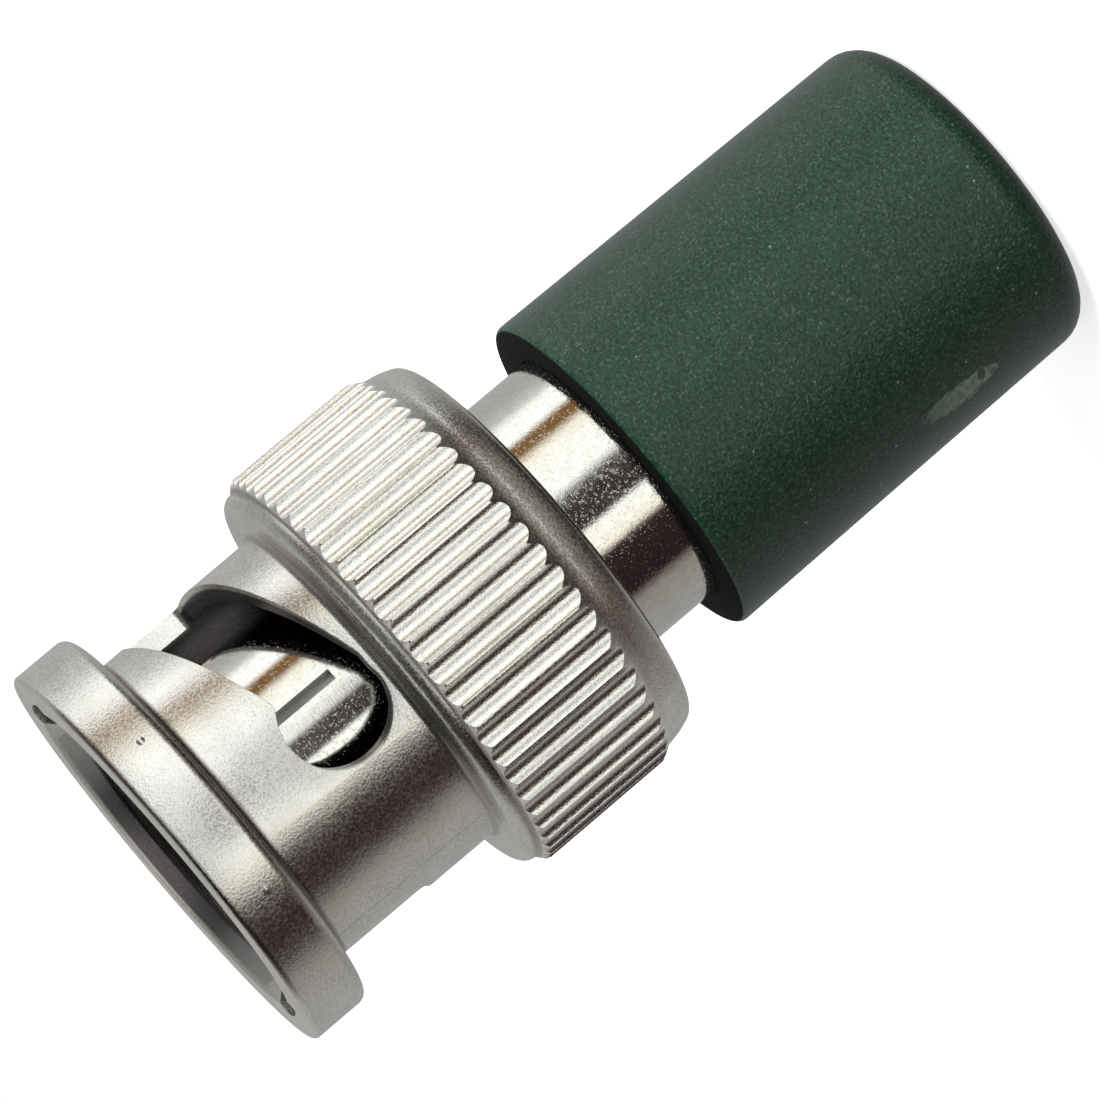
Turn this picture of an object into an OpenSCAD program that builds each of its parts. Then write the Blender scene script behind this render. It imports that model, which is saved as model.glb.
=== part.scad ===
// Coaxial bayonet plug that ends a line: a matching resistor in a moulded cap.
// The part stands on the cap's flat end, and its mating face is at the top.
// Z runs along the axis. The lead-in grooves of the bayonet lie near +X and -X.

/* [Cap] */
// Length of the moulded cap
cap_l = 14.05; // [12:0.05:18]
// Diameter at the cap's closed end
cap_rear_d = 11.0; // [10.4:0.1:11.3]
// Diameter at the cap's open end
cap_front_d = 11.3; // [10.6:0.1:12]
// Rounding of the closed end's edge
cap_rear_r = 1.05; // [0.3:0.05:1.6]
// Rounding of the open end's edge
cap_front_r = 0.2; // [0.1:0.05:0.8]
// Thickness of the closed end
cap_end_t = 3.0; // [1.5:0.1:4]

/* [Barrel] */
// Outer diameter of the barrel that the cap is pushed over
barrel_d = 8.8; // [8.6:0.05:9.2]
// Wall of the barrel, around the body's neck
barrel_wall = 0.5; // [0.35:0.05:0.6]
// Bare length between the cap and the coupling sleeve
barrel_show = 2.95; // [1:0.05:4]
// Length of the barrel inside the sleeve's rear recess
barrel_cover = 0.7; // [0.6:0.05:1.2]

/* [Body] */
// Thickness of the flange that the sleeve pulls on
flange_t = 0.75; // [0.5:0.05:1.2]
// Length of the neck that is pressed into the barrel
neck_press_l = 4.5; // [3.9:0.1:6]
// Depth of the seat for the outer contact, from the flange's front
contact_seat_l = 3.0; // [2.5:0.1:3.6]
// Bore of the lip that closes the neck behind the rear insulator
lip_bore_d = 4.6; // [3:0.1:5.2]

/* [Outer contact] */
// Diameter of the slotted contact tube
contact_d = 7.5; // [7.3:0.05:7.7]
// Wall of the contact tube
contact_wall = 0.5; // [0.35:0.05:0.6]
// Length of the contact in front of the flange
contact_l = 8.5; // [8:0.05:10]
// Diameter over the bead at the contact's tip
contact_bead_d = 8.1; // [7.9:0.05:8.2]
// Length of the bead's straight land
contact_land_l = 0.6; // [0.4:0.05:0.8]
// Length of the slope on either side of the land
contact_slope_l = 0.35; // [0.25:0.05:0.5]
// Diameter of the spigot that is pressed into the body
spigot_d = 6.6; // [6.4:0.05:6.8]
// Wall of the spigot
spigot_wall = 0.6; // [0.4:0.05:0.8]
// Length of the tube's floor in front of the flange
contact_floor_t = 0.5; // [0.3:0.05:1]
// Number of spring fingers
finger_n = 4; // [3:1:6]
// Width of the slit between two fingers
slit_w = 0.38; // [0.2:0.02:0.6]
// Length of each slit
slit_l = 4.08; // [3:0.05:6]
// Angle of the first slit about the axis
slit_turn = -74.5; // [-90:0.5:90]

/* [Insulators] */
// Depth of the front insulator's face behind the contact's tip
insulator_recess = 0.95; // [0.5:0.05:2]
// Bore that takes the mating jack's insulator
insulator_bore_d = 4.9; // [4.7:0.05:5.3]
// Depth of that bore
insulator_bore_l = 6.3; // [5:0.1:6.8]
// Diameter of the rear insulator
rear_insulator_d = 6.0; // [5.7:0.05:6.2]
// Length of the rear insulator
rear_insulator_l = 2.4; // [1.5:0.1:2.8]

/* [Centre pin] */
// Diameter of the pin
pin_d = 1.35; // [1.32:0.01:1.37]
// Diameter of the pin's shank inside the front insulator
pin_shank_d = 1.75; // [1.7:0.05:1.9]
// Depth of the pin's tip behind the contact's tip
pin_recess = 0.25; // [0:0.05:0.6]
// Length of the pin's tapered nose
pin_nose_l = 0.6; // [0.3:0.05:1]
// Diameter of the collar that holds the pin between the insulators
pin_collar_d = 2.6; // [2.2:0.1:3.2]
// Thickness of that collar
pin_collar_t = 0.6; // [0.4:0.05:1]
// Diameter of the pin behind its collar
pin_tail_d = 1.9; // [1.6:0.05:2.1]
// Length of the pin behind its collar
pin_tail_l = 3.3; // [3.1:0.1:4]
// Bore of the solder cup in the pin's tail
cup_d = 0.8; // [0.7:0.02:1]
// Depth of the solder cup
cup_l = 1.6; // [1:0.1:1.8]

/* [Resistor] */
// Diameter of the resistor
resistor_d = 2.4; // [2:0.1:3]
// Length of the resistor
resistor_l = 6.0; // [5:0.1:6.2]
// Diameter of the resistor's end bulges
resistor_end_d = 2.6; // [2.4:0.1:3.2]
// Diameter of its wire leads
lead_d = 0.6; // [0.5:0.02:0.66]
// Bare lead between the pin and the resistor
lead_gap = 0.9; // [0.5:0.1:1.2]

/* [Ground disc] */
// Thickness of the disc that ties the resistor to the barrel
disc_t = 0.6; // [0.4:0.05:1]
// Depth of the disc inside the barrel's rear end
disc_recess = 0.6; // [0.4:0.05:0.8]
// Hole for the resistor's rear lead
disc_hole_d = 0.7; // [0.68:0.01:0.9]

/* [Sleeve tube and ring] */
// Length of the coupling sleeve
sleeve_l = 14.65; // [14.2:0.05:17]
// Bore that takes the mating jack
jack_bore_d = 9.84; // [9.78:0.02:9.96]
// Tube diameter behind the front ring
tube_front_d = 11.15; // [10.8:0.05:11.3]
// Tube diameter at the front collar
tube_rear_d = 11.2; // [10.9:0.05:11.4]
// Diameter of the front ring
ring_d = 13.7; // [13.2:0.05:14.2]
// Length of the front ring
ring_l = 2.0; // [1.5:0.05:2.5]
// Rounding of the ring's rear edge
ring_rear_r = 0.35; // [0.1:0.05:0.6]
// Rounding of the ring's front edge
ring_front_r = 0.15; // [0.1:0.05:0.6]
// Chamfer around the mouth
mouth_chamfer = 0.6; // [0.2:0.05:0.8]
// Fillet where the tube meets the ring and the front collar
tube_fillet_r = 0.25; // [0.1:0.05:0.3]

/* [Sleeve grip] */
// Diameter over the knurl
knurl_d = 14.5; // [14.2:0.05:15]
// Length of the knurl
knurl_l = 5.05; // [4.5:0.05:5.8]
// Number of flutes in the knurl
flute_n = 57; // [40:1:64]
// Depth of each flute
flute_t = 0.2; // [0.1:0.01:0.3]
// Width of the crest left between two flutes
crest_w = 0.06; // [0.03:0.01:0.2]
// Turn of the first flute from +X
flute_turn = 3.5; // [0:0.1:6]
// Length of the slope at the knurl's rear end
rear_slope_l = 0.4; // [0.2:0.05:0.6]
// Length of the slope at the knurl's front end
front_slope_l = 0.25; // [0.1:0.05:0.6]
// Diameter of the collar in front of the knurl
front_collar_d = 13.9; // [13.7:0.05:14.1]
// Length of the collar in front of the knurl
front_collar_l = 0.45; // [0.4:0.05:1.2]
// Rounding of that collar's edge
front_collar_r = 0.4; // [0.1:0.05:0.4]
// Diameter of the tapered collar at the knurl's rear end
rear_collar_d = 14.0; // [13.7:0.02:14.1]
// Length of the collar behind the knurl
rear_collar_l = 1.15; // [0.8:0.05:2]
// Diameter of the sleeve's flat rear end
rear_end_d = 12.7; // [11:0.1:13]
// Rounding of the rear end's edge
rear_end_r = 0.3; // [0.1:0.05:0.4]

/* [Bayonet] */
// Distance across the mating jack's two lugs
lugs_d = 11.0; // [10.6:0.05:11.1]
// Clearance over the lugs in the lead-in grooves
lugs_clearance = 0.4; // [0.2:0.05:0.5]
// Width of the lead-in grooves
lead_in_w = 2.4; // [2.2:0.05:2.8]
// Width of the cam slot along the axis
cam_w = 2.68; // [2.4:0.02:3]
// Depth of the cam's front edge behind the mating face, at the lead-in
cam_start = 2.6; // [2.5:0.05:3.2]
// Advance of the cam over a quarter turn
cam_rise = 2.61; // [2.2:0.01:2.7]
// Diameter of the detent that holds each lug
detent_d = 3.3; // [3:0.05:3.5]
// Depth of the detent's centre behind the mating face
detent_depth = 6.02; // [5.7:0.01:6.05]
// Step between the slot's rear edge and the detent's rear edge
detent_step = 0.05; // [0.02:0.01:0.2]
// Angle that the sleeve is turned by at rest
sleeve_turn = 0.9; // [-45:0.1:45]

/* [Coupling stack] */
// Thickness of the sleeve's inner web
web_t = 0.6; // [0.4:0.05:0.9]
// Thickness of the two flat washers
washer_t = 0.25; // [0.15:0.05:0.4]
// Height of the wave washer as fitted
wave_h = 0.8; // [0.6:0.05:1]
// Thickness of the wave washer's strip
wave_t = 0.2; // [0.1:0.05:0.3]
// Number of waves
wave_n = 3; // [3:1:4]
// Thickness of the gasket
gasket_t = 0.8; // [0.5:0.05:1]
// Diameter of the gasket
gasket_d = 9.5; // [9.2:0.05:9.6]

/* [Fits] */
// Radial clearance where the sleeve turns and slides
turn_clearance = 0.06; // [0.03:0.01:0.08]
// Radial clearance where fixed pieces are seated
seat_clearance = 0.02; // [0:0.01:0.05]

/* [Hidden] */
$fn = 96;
arc_steps = 6;
wave_steps = 72;
cam_steps = 30;
overcut = 1;

// Diameters that follow from their neighbours
neck_d = barrel_d - 2 * barrel_wall;
flange_d = jack_bore_d - 2 * turn_clearance;
web_bore_d = neck_d + 2 * turn_clearance;
recess_d = barrel_d + 2 * turn_clearance;
lead_in_d = lugs_d + 2 * lugs_clearance;
contact_bore_d = contact_d - 2 * contact_wall;
spigot_bore_d = spigot_d - 2 * spigot_wall;
pin_hole_d = pin_shank_d + 2 * seat_clearance;
cam_cut_r = tube_rear_d / 2 + tube_fillet_r + 0.15;

// Heights above the cap's closed end, from the cap to the mating face
sleeve_rear_z = cap_l + barrel_show;
barrel_front_z = sleeve_rear_z + barrel_cover;
web_rear_z = barrel_front_z + washer_t;
web_front_z = web_rear_z + web_t;
wave_z = web_front_z + washer_t;
flange_rear_z = wave_z + wave_h;
flange_front_z = flange_rear_z + flange_t;
knurl_rear_z = sleeve_rear_z + rear_collar_l;
knurl_front_z = knurl_rear_z + knurl_l;
grip_front_z = knurl_front_z + front_collar_l;
sleeve_front_z = sleeve_rear_z + sleeve_l;
ring_z = sleeve_front_z - ring_l;

// Heights inside the body, from the contact's tip down to the ground disc
contact_tip_z = flange_front_z + contact_l;
contact_floor_z = flange_front_z + contact_floor_t;
contact_seat_z = flange_front_z - contact_seat_l;
neck_rear_z = barrel_front_z - neck_press_l;
lip_z = contact_seat_z - rear_insulator_l;
insulator_face_z = contact_tip_z - insulator_recess;
insulator_floor_z = insulator_face_z - insulator_bore_l;
pin_tip_z = contact_tip_z - pin_recess;
pin_collar_z = contact_seat_z - pin_collar_t;
pin_rear_z = pin_collar_z - pin_tail_l;
resistor_front_z = pin_rear_z - lead_gap;
resistor_rear_z = resistor_front_z - resistor_l;
disc_z = cap_end_t + disc_recess;

// Points along an arc about [r, z] with radii rr and rz, from one angle to another
function bend(r, z, rr, rz, from, to) = [
    for (i = [0:arc_steps])
        let (a = from + (to - from) * i / arc_steps)
            [r + rr * cos(a), z + rz * sin(a)]
];

// A solid of revolution from points [radius, height]
module turned(points) {
    rotate_extrude() polygon(points);
}

// A ring between two diameters
module ring(outer_d, inner_d, height) {
    difference() {
        cylinder(d = outer_d, h = height);
        translate([0, 0, -overcut]) cylinder(d = inner_d, h = height + 2 * overcut);
    }
}

// A solid through four-cornered sections, which closes into a loop on request
module swept(sections, looped = false) {
    n = len(sections);
    spans = looped ? n : n - 1;
    last = 4 * n - 4;
    sides = [
        for (i = [0:spans - 1], k = [0:3])
            let (
                a = 4 * i + k,
                b = 4 * i + (k + 1) % 4,
                c = 4 * ((i + 1) % n) + (k + 1) % 4,
                d = 4 * ((i + 1) % n) + k
            )
                each [[a, b, c], [a, c, d]]
    ];
    ends = looped ? [] : [
        [0, 3, 2], [0, 2, 1], [last, last + 1, last + 2], [last, last + 2, last + 3]
    ];
    polyhedron(points = [for (s = sections) each s], faces = concat(sides, ends));
}

// The four corners of a section at an angle about the axis
function section(a, r_in, r_out, z_low, z_high) = [
    [r_in * cos(a), r_in * sin(a), z_low],
    [r_out * cos(a), r_out * sin(a), z_low],
    [r_out * cos(a), r_out * sin(a), z_high],
    [r_in * cos(a), r_in * sin(a), z_high]
];

module cap() {
    color("#33553f") difference() {
        turned(concat(
            [[0, 0]],
            bend(cap_rear_d / 2 - cap_rear_r, cap_rear_r, cap_rear_r, cap_rear_r, -90, 0),
            bend(cap_front_d / 2 - cap_front_r, cap_l - cap_front_r, cap_front_r, cap_front_r, 0, 90),
            [[0, cap_l]]
        ));
        translate([0, 0, cap_end_t]) cylinder(d = barrel_d + 2 * seat_clearance, h = cap_l);
    }
}

// The barrel stands on the cap's floor, around the neck and the resistor
module rear_barrel() {
    color("#d8d4c8") translate([0, 0, cap_end_t])
        ring(barrel_d, neck_d, barrel_front_z - cap_end_t);
}

// Flange and neck, bored for the contact and the rear insulator
module plug_body() {
    color("#d8d4c8") turned([
        [lip_bore_d / 2, neck_rear_z],
        [neck_d / 2, neck_rear_z],
        [neck_d / 2, flange_rear_z],
        [flange_d / 2, flange_rear_z],
        [flange_d / 2, flange_front_z],
        [spigot_d / 2, flange_front_z],
        [spigot_d / 2, contact_seat_z],
        [rear_insulator_d / 2, contact_seat_z],
        [rear_insulator_d / 2, lip_z],
        [lip_bore_d / 2, lip_z]
    ]);
}

module contact_blank() {
    land_z = contact_tip_z - contact_slope_l - contact_land_l;
    turned([
        [spigot_bore_d / 2, contact_seat_z],
        [spigot_d / 2, contact_seat_z],
        [spigot_d / 2, flange_front_z],
        [contact_d / 2, flange_front_z],
        [contact_d / 2, land_z - contact_slope_l],
        [contact_bead_d / 2, land_z],
        [contact_bead_d / 2, land_z + contact_land_l],
        [contact_d / 2, contact_tip_z],
        [contact_bore_d / 2, contact_tip_z],
        [contact_bore_d / 2, contact_floor_z],
        [spigot_bore_d / 2, contact_floor_z]
    ]);
}

module outer_contact() {
    color("#d8d4c8") difference() {
        contact_blank();
        for (i = [0:finger_n - 1])
            rotate(slit_turn + i * 360 / finger_n)
                translate([0, -slit_w / 2, contact_tip_z - slit_l])
                    cube([contact_bead_d, slit_w, slit_l + overcut]);
    }
}

module front_insulator() {
    color("#f1efe6") turned([
        [pin_hole_d / 2, contact_seat_z],
        [spigot_bore_d / 2 - seat_clearance, contact_seat_z],
        [spigot_bore_d / 2 - seat_clearance, contact_floor_z],
        [contact_bore_d / 2 - seat_clearance, contact_floor_z],
        [contact_bore_d / 2 - seat_clearance, insulator_face_z],
        [insulator_bore_d / 2, insulator_face_z],
        [insulator_bore_d / 2, insulator_floor_z],
        [pin_hole_d / 2, insulator_floor_z]
    ]);
}

// The pin's collar sits in a recess in the rear insulator's front face
module rear_insulator() {
    color("#f1efe6") turned([
        [pin_tail_d / 2 + seat_clearance, lip_z],
        [rear_insulator_d / 2 - seat_clearance, lip_z],
        [rear_insulator_d / 2 - seat_clearance, contact_seat_z],
        [pin_collar_d / 2 + seat_clearance, contact_seat_z],
        [pin_collar_d / 2 + seat_clearance, pin_collar_z],
        [pin_tail_d / 2 + seat_clearance, pin_collar_z]
    ]);
}

module centre_pin() {
    color("#d9a441") turned([
        [0, pin_rear_z + cup_l],
        [cup_d / 2, pin_rear_z + cup_l],
        [cup_d / 2, pin_rear_z],
        [pin_tail_d / 2, pin_rear_z],
        [pin_tail_d / 2, pin_collar_z],
        [pin_collar_d / 2, pin_collar_z],
        [pin_collar_d / 2, contact_seat_z],
        [pin_shank_d / 2, contact_seat_z],
        [pin_shank_d / 2, insulator_floor_z],
        [pin_d / 2, insulator_floor_z],
        [pin_d / 2, pin_tip_z - pin_nose_l],
        [pin_d / 4, pin_tip_z],
        [0, pin_tip_z]
    ]);
}

// Solder that fills the cup around the lead and stands a little proud of it
module front_solder() {
    color("#b9bcc0") turned([
        [lead_d / 2, pin_rear_z + cup_l],
        [lead_d / 2, pin_rear_z - cup_d / 4],
        [cup_d / 2, pin_rear_z],
        [cup_d / 2, pin_rear_z + cup_l]
    ]);
}

module front_lead() {
    color("#c9c9c4") translate([0, 0, resistor_front_z])
        cylinder(d = lead_d, h = pin_rear_z + cup_l - resistor_front_z);
}

// Coated body that bulges over the end caps
module resistor_body() {
    bulge_l = resistor_end_d / 2;
    bulge_r = resistor_end_d / 4;
    color("#5fa3c7") turned(concat(
        [[0, resistor_rear_z]],
        bend(resistor_end_d / 2 - bulge_r, resistor_rear_z + bulge_r, bulge_r, bulge_r, -90, 0),
        [
            [resistor_end_d / 2, resistor_rear_z + bulge_l],
            [resistor_d / 2, resistor_rear_z + bulge_l + bulge_r],
            [resistor_d / 2, resistor_front_z - bulge_l - bulge_r],
            [resistor_end_d / 2, resistor_front_z - bulge_l]
        ],
        bend(resistor_end_d / 2 - bulge_r, resistor_front_z - bulge_r, bulge_r, bulge_r, 0, 90),
        [[0, resistor_front_z]]
    ));
}

module rear_lead() {
    color("#c9c9c4") translate([0, 0, disc_z - disc_recess / 2])
        cylinder(d = lead_d, h = resistor_rear_z - disc_z + disc_recess / 2);
}

// Solder fillet under the disc, around the end of the rear lead
module rear_solder() {
    fillet_w = disc_recess / 2;
    color("#b9bcc0") turned([
        [lead_d / 2, disc_z - fillet_w],
        [disc_hole_d / 2 + fillet_w, disc_z],
        [disc_hole_d / 2, disc_z],
        [disc_hole_d / 2, disc_z + disc_t],
        [lead_d / 2, disc_z + disc_t]
    ]);
}

module ground_disc() {
    color("#c9a35a") translate([0, 0, disc_z]) ring(neck_d, disc_hole_d, disc_t);
}

// Face seal for the mating jack, around the contact and on the flange
module gasket() {
    color("#3a3a3c") translate([0, 0, flange_front_z])
        ring(gasket_d, contact_d + 2 * seat_clearance, gasket_t);
}

// Spring ring that waves between the thrust washer and the flange
module wave_washer() {
    swing = (wave_h - wave_t) / 2;
    r_in = web_bore_d / 2;
    r_out = gasket_d / 2;
    color("#b9bcc0") swept([
        for (i = [0:wave_steps - 1])
            let (
                a = 360 * i / wave_steps,
                z = wave_z + wave_h / 2 + swing * cos(wave_n * a)
            )
                section(a, r_in, r_out, z - wave_t / 2, z + wave_t / 2)
    ], looped = true);
}

module thrust_washer() {
    color("#b9bcc0") translate([0, 0, web_front_z]) ring(flange_d, web_bore_d, washer_t);
}

module rear_washer() {
    color("#b9bcc0") translate([0, 0, barrel_front_z]) ring(barrel_d, web_bore_d, washer_t);
}

// Sleeve before the flutes and slots are cut, from the rear end to the mouth
module sleeve_blank() {
    turned(concat(
        [[recess_d / 2, sleeve_rear_z]],
        bend(rear_end_d / 2, sleeve_rear_z + rear_end_r, rear_end_r, rear_end_r, -90, 0),
        [
            [rear_collar_d / 2, knurl_rear_z],
            [knurl_d / 2, knurl_rear_z + rear_slope_l],
            [knurl_d / 2, knurl_front_z - front_slope_l],
            [front_collar_d / 2, knurl_front_z]
        ],
        bend(
            front_collar_d / 2 - front_collar_r, grip_front_z - front_collar_r,
            front_collar_r, front_collar_r, 0, 90
        ),
        bend(
            tube_rear_d / 2 + tube_fillet_r, grip_front_z + tube_fillet_r,
            tube_fillet_r, tube_fillet_r, 270, 180
        ),
        bend(
            tube_front_d / 2 + tube_fillet_r, ring_z - tube_fillet_r,
            tube_fillet_r, tube_fillet_r, 180, 90
        ),
        bend(ring_d / 2 - ring_rear_r, ring_z + ring_rear_r, ring_rear_r, ring_rear_r, -90, 0),
        bend(
            ring_d / 2 - ring_front_r, sleeve_front_z - ring_front_r,
            ring_front_r, ring_front_r, 0, 90
        ),
        [
            [jack_bore_d / 2 + mouth_chamfer, sleeve_front_z],
            [jack_bore_d / 2, sleeve_front_z - mouth_chamfer],
            [jack_bore_d / 2, web_front_z],
            [web_bore_d / 2, web_front_z],
            [web_bore_d / 2, web_rear_z],
            [recess_d / 2, web_rear_z]
        ]
    ));
}

// One rounded flute along the knurl, leaving a narrow crest on each side
module flute() {
    half_w = (PI * knurl_d / flute_n - crest_w) / 2;
    cut_r = (pow(half_w, 2) + pow(flute_t, 2)) / (2 * flute_t);
    translate([knurl_d / 2 - flute_t + cut_r, 0, knurl_rear_z])
        cylinder(r = cut_r, h = knurl_l);
}

// Rear edge of the cam slot at an angle from the detent, level beside the detent
function cam_rear_z(a) = max(
    sleeve_front_z - cam_start - cam_w - cam_rise * (90 - a) / 90,
    sleeve_front_z - detent_depth - detent_d / 2 + detent_step
);

// Front edge of the cam slot at the same angle
function cam_front_z(a) = sleeve_front_z - cam_start - cam_rise * (90 - a) / 90;

// Cam slot from the detent at -Y round to the lead-in at +X
module cam_cut() {
    rotate(-90) swept([
        for (i = [0:cam_steps])
            let (a = 90 * i / cam_steps)
                section(a, jack_bore_d / 2 - overcut, cam_cut_r, cam_rear_z(a), cam_front_z(a))
    ]);
    translate([0, 0, sleeve_front_z - detent_depth])
        rotate([90, 0, 0]) cylinder(d = detent_d, h = cam_cut_r + tube_fillet_r);
}

// Grooves on both sides, from the cam slots out to the mating face
module lead_in_cut() {
    translate([0, 0, cam_rear_z(90)])
        linear_extrude(sleeve_l)
            intersection() {
                circle(d = lead_in_d);
                square([lead_in_d, lead_in_w], center = true);
            }
}

module coupling_sleeve() {
    color("#c9c4b6") difference() {
        sleeve_blank();
        for (i = [0:flute_n - 1]) rotate(flute_turn + 360 * i / flute_n) flute();
        rotate(sleeve_turn) {
            lead_in_cut();
            for (side = [0, 180]) rotate(side) cam_cut();
        }
    }
}

cap();
rear_barrel();
plug_body();
outer_contact();
front_insulator();
rear_insulator();
centre_pin();
front_solder();
front_lead();
resistor_body();
rear_lead();
rear_solder();
ground_disc();
gasket();
wave_washer();
thrust_washer();
rear_washer();
coupling_sleeve();
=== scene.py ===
import math

import bmesh
import bpy
from mathutils import Matrix, Quaternion, Vector


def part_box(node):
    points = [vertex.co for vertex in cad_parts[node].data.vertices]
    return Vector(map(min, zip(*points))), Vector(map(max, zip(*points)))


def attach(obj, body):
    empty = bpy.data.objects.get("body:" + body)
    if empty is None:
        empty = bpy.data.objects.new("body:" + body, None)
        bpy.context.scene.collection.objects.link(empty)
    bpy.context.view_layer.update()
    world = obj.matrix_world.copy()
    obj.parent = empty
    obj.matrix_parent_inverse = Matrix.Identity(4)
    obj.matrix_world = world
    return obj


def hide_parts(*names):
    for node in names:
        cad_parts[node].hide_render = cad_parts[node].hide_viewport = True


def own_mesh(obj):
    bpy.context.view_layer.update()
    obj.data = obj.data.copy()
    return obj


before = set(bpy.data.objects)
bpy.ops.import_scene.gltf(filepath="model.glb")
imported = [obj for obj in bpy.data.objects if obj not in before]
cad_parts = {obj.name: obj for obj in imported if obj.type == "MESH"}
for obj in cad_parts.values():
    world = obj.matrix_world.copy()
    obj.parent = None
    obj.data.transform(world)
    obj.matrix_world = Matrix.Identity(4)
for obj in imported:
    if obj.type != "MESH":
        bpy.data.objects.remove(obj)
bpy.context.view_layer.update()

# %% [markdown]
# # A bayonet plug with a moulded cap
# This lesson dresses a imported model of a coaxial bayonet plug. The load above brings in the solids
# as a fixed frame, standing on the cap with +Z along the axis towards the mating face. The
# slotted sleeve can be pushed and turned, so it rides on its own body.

MM = 0.001
FRONT_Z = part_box("coupling_sleeve")[1].z / MM
REAR_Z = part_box("coupling_sleeve")[0].z / MM
CAP_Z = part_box("cap")[1].z / MM
KNURL_REAR_Z, KNURL_FRONT_Z = REAR_Z + 1.15, REAR_Z + 6.2
COLLAR_Z = REAR_Z + 6.65
RING_Z = FRONT_Z - 2.0

# %% [markdown]
# ## Camera
# The view is a long lens a little above the object and rolled well over, so the plug lies
# diagonally in the frame. The camera is aimed level along +Y, panned and tilted down, and then
# rolled about its own line of sight.

# %% Camera
CAMERA_AT = Vector((0, -177.2, 45.71)) * MM
PAN, TILT, ROLL = math.radians(-0.11), math.radians(9.20), math.radians(-130.17)
LENS_MM, SENSOR_MM = 198.95, 36

scene = bpy.context.scene
camera = bpy.data.objects.new("camera", bpy.data.cameras.new("camera"))
scene.collection.objects.link(camera)
camera.data.lens, camera.data.sensor_width = LENS_MM, SENSOR_MM
camera.data.clip_start, camera.data.clip_end = 0.01, 20
aim = Vector((math.sin(PAN) * math.cos(TILT), math.cos(PAN) * math.cos(TILT), -math.sin(TILT)))
camera.location = CAMERA_AT
camera.rotation_mode = "QUATERNION"
camera.rotation_quaternion = aim.to_track_quat("-Z", "Y") @ Quaternion((0, 0, 1), ROLL)
scene.camera = camera
scene.view_settings.view_transform = "Standard"
print("camera", round(CAMERA_AT.length / MM, 1), "mm from the cap's closed end")

# %% [markdown]
# ## Shader arithmetic
# A material is a small formula. Wiring Math nodes by hand hides the formula, so one class wraps a
# socket and lets Python's own + - * / build the nodes. Every other node comes from `make`.

# %% A wire that does arithmetic
class Wire:
    """An output socket of a node tree. Arithmetic on it adds Math nodes."""

    def __init__(self, tree, socket=None):
        self.tree, self.socket = tree, socket

    def make(self, kind, settings=None, sockets=None):
        """Adds a node: its settings first, then the values or links of its sockets."""
        node = self.tree.nodes.new(kind)
        for key, value in (settings or {}).items():
            if key == "stops":
                fill_ramp(node.color_ramp, value)
            else:
                setattr(node, key, value)
        for key, value in (sockets or {}).items():
            if isinstance(value, Wire):
                self.tree.links.new(value.socket, node.inputs[key])
            else:
                node.inputs[key].default_value = value
        return Wire(self.tree, node.outputs[0] if len(node.outputs) else None)

    def out(self, name):
        """Another output of the node that this wire comes from."""
        return Wire(self.tree, self.socket.node.outputs[name])

    def math(self, operation, *values):
        """A Math node on this wire and these values."""
        return self.make("ShaderNodeMath", {"operation": operation}, dict(enumerate((self, *values))))

    def __add__(self, other):
        return self.math("ADD", other)

    def __sub__(self, other):
        return self.math("SUBTRACT", other)

    def __rsub__(self, other):
        return self.make("ShaderNodeMath", {"operation": "SUBTRACT"}, {0: other, 1: self})

    def __mul__(self, other):
        return self.math("MULTIPLY", other)

    def __truediv__(self, other):
        return self.math("DIVIDE", other)

    def __pow__(self, other):
        return self.math("POWER", other)

    __radd__, __rmul__ = __add__, __mul__

    def step(self, low, high):
        """0 below low, 1 above high, and a smooth rise between. Reversed where low is above high."""
        sockets = {0: self, 1: low, 2: high, 3: 0.0, 4: 1.0}
        return self.make("ShaderNodeMapRange", {"interpolation_type": "SMOOTHSTEP"}, sockets)

    def ramp(self, stops):
        return self.make("ShaderNodeValToRGB", {"stops": stops}, {"Fac": self})

    def mix(self, colour_a, colour_b):
        """colour_a where this wire is 0 and colour_b where it is 1."""
        sockets = {0: self, 6: rgba(colour_a), 7: rgba(colour_b)}
        node = self.make("ShaderNodeMix", {"data_type": "RGBA", "blend_type": "MIX"}, sockets)
        return Wire(self.tree, node.socket.node.outputs[2])

    def split(self):
        """The X, Y and Z of a vector."""
        parts = self.make("ShaderNodeSeparateXYZ", None, {0: self})
        return parts, parts.out("Y"), parts.out("Z")

    def noise(self, size_mm, detail):
        """Noise with lumps of about this size, from coordinates in metres."""
        sockets = {"Vector": self, "Scale": 1 / (size_mm * MM), "Detail": detail}
        return self.make("ShaderNodeTexNoise", {"noise_dimensions": "3D"}, sockets)


def rgba(colour):
    return colour if isinstance(colour, Wire) or len(colour) == 4 else (*colour, 1.0)


def fill_ramp(ramp, stops):
    """Sets a colour ramp's stops from (position, value or colour) pairs."""
    while len(ramp.elements) > 1:
        ramp.elements.remove(ramp.elements[-1])
    for i, (position, value) in enumerate(stops):
        stop = ramp.elements[0] if i == 0 else ramp.elements.new(position)
        stop.position = position
        stop.color = (value, value, value, 1) if isinstance(value, (int, float)) else rgba(value)


print("shader wires ready")

# %% [markdown]
# ## Studio
# Nickel has no colour of its own to speak of: it shows the room. A product photographer stands
# the part in a light tent with dark cards and a warm card between the soft boxes, and the cards
# become the bands that run down every round surface. The world draws that tent by direction: four
# rows of cards, one above the other, each a colour ramp round the horizon.

# %% Cards of the light tent
DARK, WARM = (0.030, 0.015, 0.020), (0.30, 0.16, 0.06)
WHITE, CREAM, BRIGHT = (1.52, 1.59, 1.58), (1.46, 1.42, 1.26), (1.62, 1.66, 1.66)
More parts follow.
